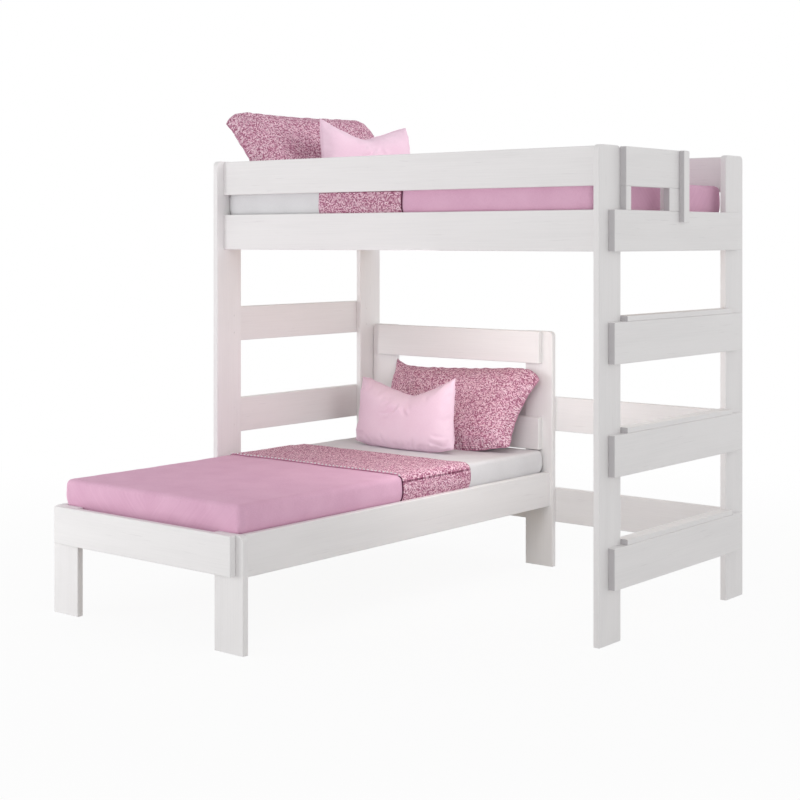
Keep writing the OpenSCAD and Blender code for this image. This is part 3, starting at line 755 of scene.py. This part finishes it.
def add_cloth(bed, kind, start, stop, lift, thick, finish, slot, over_foot, on_blanket):
    """A cloth over the bed from start to stop along it, its inner face lift above
    the mattress. It hangs down both sides, and with over_foot over the foot too. From
    on_blanket along the bed, where that is given, it lies on the blanket."""
    outer = lift + thick
    radius = MATTRESS_EDGE + outer
    half = bed.width / 2
    low = np.array([-BEYOND, -half - outer, -BEYOND])
    high = np.array([bed.length + outer if over_foot else BEYOND, half + outer, outer])
    lines = [
        grid_lines(start, high[0], CLOTH_GRID, 0, radius) if over_foot
        else grid_lines(start, stop, CLOTH_FINE_GRID),
        grid_lines(low[1], high[1], CLOTH_GRID, radius, radius),
        grid_lines(-CLOTH_DROP, high[2], CLOTH_FINE_GRID, 0, radius),
    ]
    sides = [(2, 1), (1, 0), (1, 1)] + [(0, 1)] * over_foot
    points, quads = box_skin(lines, sides)
    points, facing = round_off(points, low, high, radius)
    uv = across_map(bed, points, facing, radius)
    stand = bed.settling(points, facing) + bed.drape(points, facing)
    if on_blanket:
        bare = 1 - rise(points[:, 0], on_blanket - STEP_BEFORE, on_blanket + STEP_AFTER)
        own = THROW_RIPPLE * (1 + ripple(points, THROW_WAVE, bed.seed + 4)) * bed.free(points)
        stand += own - bare * BLANKET_THICK
    points = points + facing * stand[:, None]
    piece = bed.put(kind, points, quads, finish, slot, uv)
    wall = piece.modifiers.new("thickness", "SOLIDIFY")
    wall.thickness, wall.offset = thick, -1
    wall.use_even_offset = True
    finished(piece)
    return piece, points, facing, uv


def add_blanket(bed):
    """The blanket, from under the throw to over the foot."""
    start = SHEET_BARE + THROW_WIDTH - BLANKET_UNDER
    piece, *_ = add_cloth(bed, "blanket", start, bed.length, AIR, BLANKET_THICK,
                          BLANKET, "blanket", True, None)
    return piece


def add_throw(bed):
    """The woven throw across the bed, with its hems, a dark bead that paints the shadow
    where its foot edge hangs, and the stitches where that edge lies flat."""
    start, stop = SHEET_BARE, SHEET_BARE + THROW_WIDTH
    piece, points, facing, uv = add_cloth(
        bed, "throw", start, stop, AIR * 2 + BLANKET_THICK, THROW_THICK,
        TWEED, "throw", False, stop - BLANKET_UNDER)
    for end, place in (("head", start), ("foot", stop)):
        edge = np.flatnonzero(np.abs(uv[:, 0] - place) < 1e-6)
        edge = edge[np.argsort(uv[edge, 1])]
        path = bed.place(points[edge] - facing[edge] * (THROW_THICK / 2))
        down = np.abs(facing[edge, 1]) > STEEP
        shadow_pairs = [pair for pair in run(path) if end == "foot" and down[list(pair)].any()]
        hem = [pair for pair in run(path) if pair not in shadow_pairs]
        set_from_tree(f"{bed.name}_throw_hem_{end}", BEAD, path, hem,
                                     ROSE, "throw", Radius=HEM)
    # painted shadow: a dark bead where the foot edge hangs down
    set_from_tree(f"{bed.name}_throw_binding", BEAD, path, shadow_pairs,
                                 PAINTED_SHADOW_WEAVE, "throw", Radius=SHADOW_EDGE_RADIUS)
    line = points[edge] + facing[edge] * (STITCH_THREAD * 0.25)
    line[:, 0] += HEM * 0.5
    line = bed.place(line[~down])
    set_from_tree(f"{bed.name}_throw_stitches", STITCHING, line, run(line),
                                 SHEET, "throw", Pitch=STITCH_PITCH,
                                 Length=STITCH_LENGTH, Thread=STITCH_THREAD)
    around = 2 * np.abs(uv[:, 1]).max()
    return piece


# ------------------------------------------------------------------ pillows

def pillow_case(p):
    """A closed case as a grid over its front and back: how far across and up each
    point is, from -1 to 1, which face it is on, the quads, and the seam's points."""
    n, m = round(p["width"] / p["cell"]), round(p["height"] / p["cell"])
    a, b = np.meshgrid(np.linspace(-1, 1, n + 1), np.linspace(-1, 1, m + 1))
    a, b = a.ravel(), b.ravel()
    row = n + 1
    inner = (np.abs(a) < 1) & (np.abs(b) < 1)
    back = np.full(len(a), -1)
    back[inner] = len(a) + np.arange(inner.sum())
    back[~inner] = np.flatnonzero(~inner)
    front = [[j * row + i, j * row + i + 1, (j + 1) * row + i + 1, (j + 1) * row + i]
             for j in range(m) for i in range(n)]
    behind = [[int(back[k]) for k in quad[::-1]] for quad in front]
    seam = [*range(n), *(j * row + n for j in range(m)),
            *(m * row + i for i in range(n, 0, -1)), *(j * row for j in range(m, 0, -1))]
    side = np.concatenate([np.ones(len(a)), -np.ones(inner.sum())])
    return (np.concatenate([a, a[inner]]), np.concatenate([b, b[inner]]), side,
            front + behind, seam)


def pillow_form(p, droop, tuck, dent_at, dent, a, b, side):
    """The even form of a stuffed pillow: out of its middle plane, across and up."""
    width, height = p["width"], p["height"]
    across = (width / 2 * a * (1 - p["pull"] * (1 - b * b) * a * a)
              - np.where(a < 0, *tuck) * a * (1 - b) / 2)
    valley = dent * np.maximum(0, 1 - np.sqrt((a - dent_at) ** 2 + DENT_ROUND))
    ear = np.where(a < 0, *droop) * np.abs(a) ** p["ear"]
    lift = CORNER_LIFT * a * a * ((1 - b) / 2) ** 2
    up = (height / 2 * (1 + b * (1 - PILLOW_SAG * (1 - a * a) * np.maximum(b, 0)))
          - (valley + ear) * ((1 + b) / 2) ** 2 + lift)
    fat = np.sqrt(np.clip((1 - a ** 4) * (1 - b ** 4), 0, 1))
    return np.stack([side * p["thick"] / 2 * fat, across, up], 1)


FILL_FRAMES = 20
FILL_SLACK = 0.035  # how much wider the cloth is cut than the form it is filled to
FILL_CLOTH = dict(quality=6, mass=0.25, tension_stiffness=25, compression_stiffness=12,
                  shear_stiffness=8, bending_stiffness=0.3, shrink_min=-FILL_SLACK,
                  use_pressure=True, uniform_pressure_force=4.0)


def fill(name, points, faces, seam, cap):
    """The case stuffed by a cloth simulation, its seam held: the slack in the cloth
    goes into puckers. No point moves further than cap."""
    case = mesh_object(name, points, faces)
    held = case.vertex_groups.new(name="seam")
    held.add([int(k) for k in seam], 1.0, "REPLACE")
    cloth = case.modifiers.new("filling", "CLOTH")
    for key, value in FILL_CLOTH.items():
        setattr(cloth.settings, key, value)
    cloth.settings.vertex_group_mass = held.name
    cloth.settings.effector_weights.gravity = 0
    cloth.collision_settings.use_collision = False
    for step in range(1, FILL_FRAMES + 1):
        bpy.context.scene.frame_set(step)
    full = np.empty(len(points) * 3)
    shape = case.evaluated_get(bpy.context.evaluated_depsgraph_get())
    shape.data.vertices.foreach_get("co", full)
    bpy.data.objects.remove(case)
    bpy.context.scene.frame_set(1)
    moved = full.reshape(-1, 3) - points
    far = np.linalg.norm(moved, axis=1)[:, None]
    return points + moved * (cap * np.tanh(far / cap) / np.maximum(far, 1e-9))


def crease(places, start, end, bow, width, depth):
    """The height of a soft fold along a bowed line: a valley with a ridge beside it."""
    start, end = np.array(start), np.array(end)
    line = end - start
    length = np.linalg.norm(line)
    along = (places - start) @ line / length ** 2
    aside = (places - start) @ np.array([-line[1], line[0]]) / length
    aside = aside - bow * 4 * along * (1 - along)
    ends = np.sin(math.pi * np.clip(along, 0, 1)) ** 0.7
    valley = np.exp(-(aside / width) ** 2)
    ridge = np.exp(-((aside - RIDGE_AWAY * width) / width) ** 2)
    return depth * ends * (RIDGE_SHARE * ridge - valley)


def puckers(flat, half, depth, seed):
    """The heights of the small folds that run in from the seam, and how far the seam
    itself strays across and up."""
    spread = np.column_stack([flat, np.zeros(len(flat))])
    in_from_side, in_from_end = (half - np.abs(flat)).T
    upright = (ripple(spread, PUCKER_WAVE, seed, (1, DRAWN_IN, 1))
               * np.exp(-in_from_end / PUCKER_FADE))
    level = (ripple(spread, PUCKER_WAVE, seed + 1, (DRAWN_IN, 1, 1))
             * np.exp(-in_from_side / PUCKER_FADE))
    rim = np.minimum(in_from_side, in_from_end)
    height = depth * (upright + level) * rise(rim, 0, PUCKER_START)
    stray = np.exp(-rim / SEAM_FADE)[:, None] * np.stack(
        [ripple(spread, SEAM_WAVE, seed + 2), ripple(spread, SEAM_WAVE, seed + 3)], 1)
    return height, SEAM_STRAY * depth * stray


def add_pillow(bed, size):
    """A pillow stuffed, creased, leant back and turned, and laid on the bed."""
    p = PILLOWS[size]
    along, v, turn, roll, droop, tuck, dent_at, dent = LAID[bed.name][size]
    a, b, side, faces, seam = pillow_case(p)
    points = pillow_form(p, droop, tuck, dent_at, dent, a, b, side)
    points = fill(f"{bed.name}_{size}_case", points, faces, seam, p["cap"])
    half = np.array([p["width"], p["height"]]) / 2
    flat = np.stack([a, b], 1) * half
    height, stray = puckers(flat, half, p["pucker"], bed.seed + round(100 * p["width"]))
    points[:, 0] += side * height
    points[:, 1:] += stray
    inside = (side > 0) * (np.abs(a) < 1) * (np.abs(b) < 1)
    for start, end, bow, width, depth in CREASES[size]:
        points[:, 0] += inside * crease(flat, np.array(start) * half,
                                        np.array(end) * half, bow, width, depth)
    out, across, up = points.T
    lean, turn, roll = math.radians(p["lean"]), math.radians(turn), math.radians(roll)
    across, up = (across * math.cos(roll) - up * math.sin(roll),
                  across * math.sin(roll) + up * math.cos(roll))
    u = out * math.cos(lean) - up * math.sin(lean)
    z = out * math.sin(lean) + up * math.cos(lean) + AIR - PILLOW_PRESS
    places = np.stack([p["u"] + along + u * math.cos(turn) + across * math.sin(turn),
                       v - u * math.sin(turn) + across * math.cos(turn),
                       np.maximum(z, AIR)], 1)
    finish, slot = (TWEED, "throw") if size == "large" else (BLUSH, "small_pillow")
    piece = bed.put(f"pillow_{size}", places, faces, finish, slot, flat)
    keep_sharp(piece.data, seam)
    smooth = piece.modifiers.new("finer", "SUBSURF")
    smooth.levels = smooth.render_levels = 1
    finished(piece)
    path = bed.place(places[seam])
    set_from_tree(f"{bed.name}_pillow_{size}_seam", BEAD, path, run(path, True),
                  ROSE if finish is TWEED else finish, slot, Radius=SEAM_BEAD)
    return piece


def keep_sharp(mesh, seam):
    """Keeps subdivision from rounding off the seam."""
    following = dict(zip(seam, seam[1:] + seam[:1]))
    crisp = mesh.attributes.new("crease_edge", "FLOAT", "EDGE")
    for edge in mesh.edges:
        first, second = edge.vertices
        if following.get(first) == second or following.get(second) == first:
            crisp.data[edge.index].value = SEAM_SHARP


# --------------------------------------------------------- camera and light

CAMERA_PLACE = (4.0034, -4.8848, 1.4829)
CAMERA_HEADING = 39.47  # degrees, from looking along +Y
CAMERA_LENS, CAMERA_SENSOR = 69.71, 36  # in millimetres
CAMERA_SHIFT = -0.2007

# Each lamp's place, what it is aimed at, its size and its power
LAMPS = {
    "front_window": ((-2.5, -3.8, 1.0), (-0.5, 0, 0.8), 2.0, 38),
    "under_loft": ((0.35, 0.10, 1.15), (-1.0, 0.35, 0.75), 0.6, 3.8),
    "under_loft_back": ((0.60, 0.05, 1.15), (0.45, 0.95, 0.70), 0.6, 1.6),
    "over_loft": ((0.6, 0.45, 2.3), (-1.0, 0.45, 2.1), 0.8, 6.5),
}


def add_camera():
    """A level camera at the photo's place."""
    data = bpy.data.cameras.new("camera")
    data.lens, data.sensor_width, data.shift_y = CAMERA_LENS, CAMERA_SENSOR, CAMERA_SHIFT
    camera = bpy.data.objects.new("camera", data)
    camera.location = CAMERA_PLACE
    camera.rotation_euler = (math.radians(90), 0, math.radians(CAMERA_HEADING))
    bpy.context.scene.collection.objects.link(camera)
    bpy.context.scene.camera = camera


def add_lamp(name, place, aim, size, power):
    """A round soft lamp, which the camera doesn't see."""
    data = bpy.data.lights.new(name, "AREA")
    data.shape, data.size, data.energy = "DISK", size, power
    lamp = bpy.data.objects.new(name, data)
    lamp.location = place
    lamp.rotation_euler = (Vector(aim) - Vector(place)).to_track_quat("-Z", "Y").to_euler()
    lamp.visible_camera = False
    bpy.context.scene.collection.objects.link(lamp)


def seen_directly(nodes):
    """1 for rays from the camera and for what metal and glass show."""
    camera = nodes.add("ShaderNodeLightPath", output="Is Camera Ray")
    glossy = nodes.add("ShaderNodeLightPath", output="Is Glossy Ray")
    through = nodes.add("ShaderNodeLightPath", output="Is Transmission Ray")
    return camera.math("MAXIMUM", glossy).math("MAXIMUM", through)


SKY_SIDE = 1.13  # light from the sides
SKY_TOP = 0.60  # and from above
SKY_FRONT = 0.80  # share of it that comes from the front


def add_sky():
    """Soft light all round, weaker from above and in front, and a white background."""
    world = bpy.data.worlds.new("studio")
    world.use_nodes = True
    bpy.context.scene.world = world
    nodes = Nodes(world.node_tree)
    direction = nodes.add("ShaderNodeTexCoord", output="Generated")
    height = nodes.smooth(nodes.part(direction, 2), 0.0, 0.9)
    front = nodes.smooth(nodes.part(direction, 1) * -1, 0.0, 1.0)
    light = (SKY_SIDE - height * (SKY_SIDE - SKY_TOP)) * (1 - front * (1 - SKY_FRONT))
    strength = nodes.mix(seen_directly(nodes), light, (1, 1, 1, 1))
    glow = nodes.add("ShaderNodeBackground", inputs={"Color": strength, "Strength": 1.0})
    nodes.add("ShaderNodeOutputWorld", inputs={0: glow})


FLOOR_REACH = 16.0
FLOOR_WHITE = 0.93  # share of plain white in the floor as seen near the bed
FLOOR_FADE = (1.6, 4.5)  # from the bed's middle, where it starts and ends fading to white
FLOOR_GREY = 0.86


def add_floor():
    """A pale floor that keeps a faint shadow of the bed and fades out to white."""
    half = FLOOR_REACH / 2
    corners = [(-half, -half, 0), (half, -half, 0), (half, half, 0), (-half, half, 0)]
    floor = mesh_object("floor", corners, [(0, 1, 2, 3)])
    made = bpy.data.materials.new("pale_floor")
    made.use_nodes = True
    nodes = Nodes(made.node_tree)
    place = nodes.add("ShaderNodeTexCoord", output="Object")
    reach = nodes.add("ShaderNodeVectorMath", {"operation": "LENGTH"}, {0: place}, output=1)
    white = FLOOR_WHITE + nodes.smooth(reach, *FLOOR_FADE) * (1 - FLOOR_WHITE)
    matt = nodes.add("ShaderNodeBsdfDiffuse", inputs={"Color": (*[FLOOR_GREY] * 3, 1)})
    glow = nodes.add("ShaderNodeEmission", inputs={"Color": (1, 1, 1, 1), "Strength": 1.0})
    nodes.add("ShaderNodeOutputMaterial", inputs={0: nodes.add(
        "ShaderNodeMixShader", inputs={0: seen_directly(nodes) * white, 1: matt, 2: glow})})
    floor.data.materials.append(made)


bpy.context.scene.view_settings.view_transform = "Standard"
add_camera()
add_sky()
add_floor()
for name, setting in LAMPS.items():
    add_lamp(name, *setting)
dress_frame()
add_screws("loft_screws")
add_screws("bed_screws")
beds = [Bed("loft", False, "side_rail_front", 10), Bed("bed", True, "bed_rail_right", 30)]
for bed in beds:
    add_mattress(bed)
    add_blanket(bed)
    add_throw(bed)
    for size in PILLOWS:
        add_pillow(bed, size)
